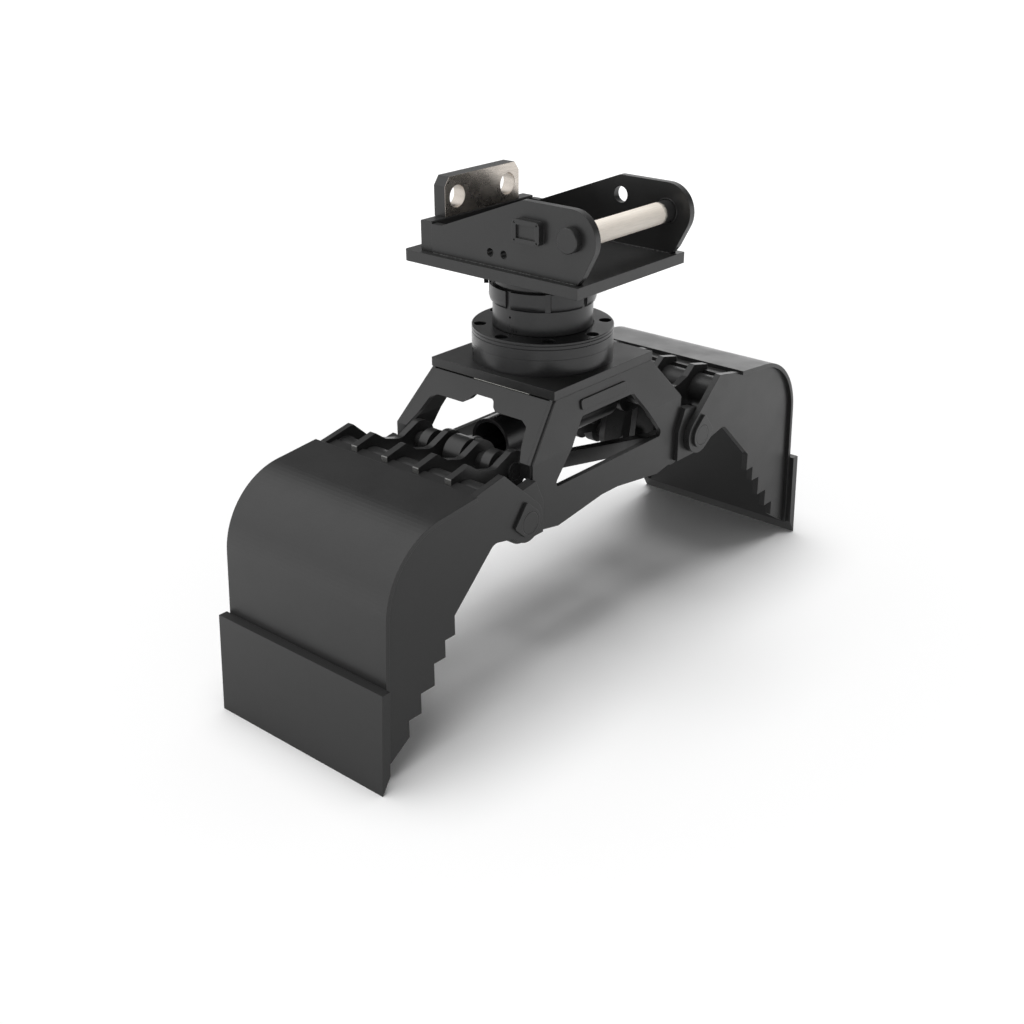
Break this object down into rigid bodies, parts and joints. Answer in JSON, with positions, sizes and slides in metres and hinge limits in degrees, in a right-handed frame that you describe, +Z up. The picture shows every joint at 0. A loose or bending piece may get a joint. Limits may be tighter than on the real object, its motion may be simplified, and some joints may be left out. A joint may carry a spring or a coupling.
{
  "type": "excavator grapple",
  "caption": "Demolition and sorting grapple with toothed shells, a hydraulic cylinder, a rotator and a quick-coupler head for an excavator stick.",
  "frame": {"origin": "the point on the floor under the rotator axis, midway between the two cutting edges, with both shells fully open", "axes": "+X along the opening direction, towards the shell that carries the cylinder barrel; +Y across the working width, towards the lock plate; +Z up along the rotator axis"},
  "size_m": [1.919, 0.6355, 1.284],
  "materials": {
    "black_paint": "satin near-black two-pack paint on welded steel plate",
    "rotator_paint": "satin black paint on turned steel",
    "bright_steel": "bare ground steel with fine scratches",
    "turned_steel": "turned steel, lightly oiled",
    "bronze": "cast bushing bronze",
    "seal_rubber": "matte black seal rubber"
  },
  "bodies": {
    "coupler": {"coupler_base_plate": "black_paint", "coupler_cheek_left": "black_paint", "coupler_cheek_right": "black_paint", "coupler_cross_block": "black_paint", "lock_plate": "bright_steel", "coupler_pin": "bright_steel", "coupler_pin_caps": "black_paint", "rotator_top_disc": "rotator_paint", "rotator_collar": "rotator_paint", "rotator_housing": "rotator_paint", "rotator_cam_ring": "turned_steel", "rotator_bearings": "turned_steel", "rotator_ports": "rotator_paint"},
    "frame": {"rotor_shaft": "turned_steel", "rotor_vanes": "bronze", "rotor_flange_upper": "rotator_paint", "rotor_flange_lower": "rotator_paint", "rotor_seal": "seal_rubber", "flange_screws": "turned_steel", "frame_top_plate": "black_paint", "frame_side_front": "black_paint", "frame_side_rear": "black_paint", "frame_end_left": "black_paint", "frame_end_right": "black_paint", "hinge_doublers": "black_paint", "hinge_bosses": "black_paint", "hinge_bushes": "bronze", "name_bars": "black_paint"},
    "shell_left": {"left_side_front": "black_paint", "left_side_rear": "black_paint", "left_back_plate": "black_paint", "left_cutting_edge": "black_paint", "left_ribs": "black_paint", "left_torque_tube": "black_paint", "left_lap_strip": "black_paint", "left_hinge_pins": "black_paint", "left_lug_pin": "turned_steel"},
    "shell_right": {"right_side_front": "black_paint", "right_side_rear": "black_paint", "right_back_plate": "black_paint", "right_cutting_edge": "black_paint", "right_ribs": "black_paint", "right_torque_tube": "black_paint", "right_lap_strip": "black_paint", "right_hinge_pins": "black_paint", "right_lug_pin": "turned_steel", "right_sync_pin_ends": "turned_steel"},
    "cylinder_barrel": {"barrel_tube": "rotator_paint", "rod_guard": "rotator_paint", "gland": "rotator_paint", "barrel_eye_bush": "bronze"},
    "cylinder_rod": {"piston_rod": "turned_steel", "piston": "turned_steel", "piston_seals": "seal_rubber", "rod_eye_bush": "bronze"},
    "sync_links": {"sync_links": "black_paint", "sync_bushes": "bronze", "sync_pins": "turned_steel"}
  },
  "joints": [
    {"name": "rotator_turn", "type": "hinge", "parent": "coupler", "child": "frame", "pos_m": [0, 0, 0.9], "axis": [0, 0, 1], "continuous": true},
    {"name": "left_shell_swing", "type": "hinge", "parent": "frame", "child": "shell_left", "pos_m": [-0.389, 0, 0.519], "axis": [0, -1, 0], "range_deg": [0, 77.8]},
    {"name": "right_shell_swing", "type": "hinge", "parent": "frame", "child": "shell_right", "pos_m": [0.389, 0, 0.519], "axis": [0, 1, 0], "range_deg": [0, 77.8]},
    {"name": "rod_eye_turn", "type": "hinge", "parent": "shell_left", "child": "cylinder_rod", "pos_m": [-0.33, 0, 0.612], "axis": [0, 1, 0], "range_deg": [0, 77.8]},
    {"name": "barrel_eye_turn", "type": "hinge", "parent": "shell_right", "child": "cylinder_barrel", "pos_m": [0.33, 0, 0.612], "axis": [0, -1, 0], "range_deg": [0, 77.8]},
    {"name": "sync_link_turn", "type": "hinge", "parent": "shell_left", "child": "sync_links", "pos_m": [-0.33, 0, 0.612], "axis": [0, 1, 0], "range_deg": [0, 73]}
  ],
  "couplings": [
    {"joint": "right_shell_swing", "follows": "left_shell_swing", "ratio": 1},
    {"joint": "rod_eye_turn", "follows": "left_shell_swing", "ratio": 1},
    {"joint": "barrel_eye_turn", "follows": "left_shell_swing", "ratio": 1},
    {"joint": "sync_link_turn", "follows": "left_shell_swing", "ratio": 0.9378}
  ]
}
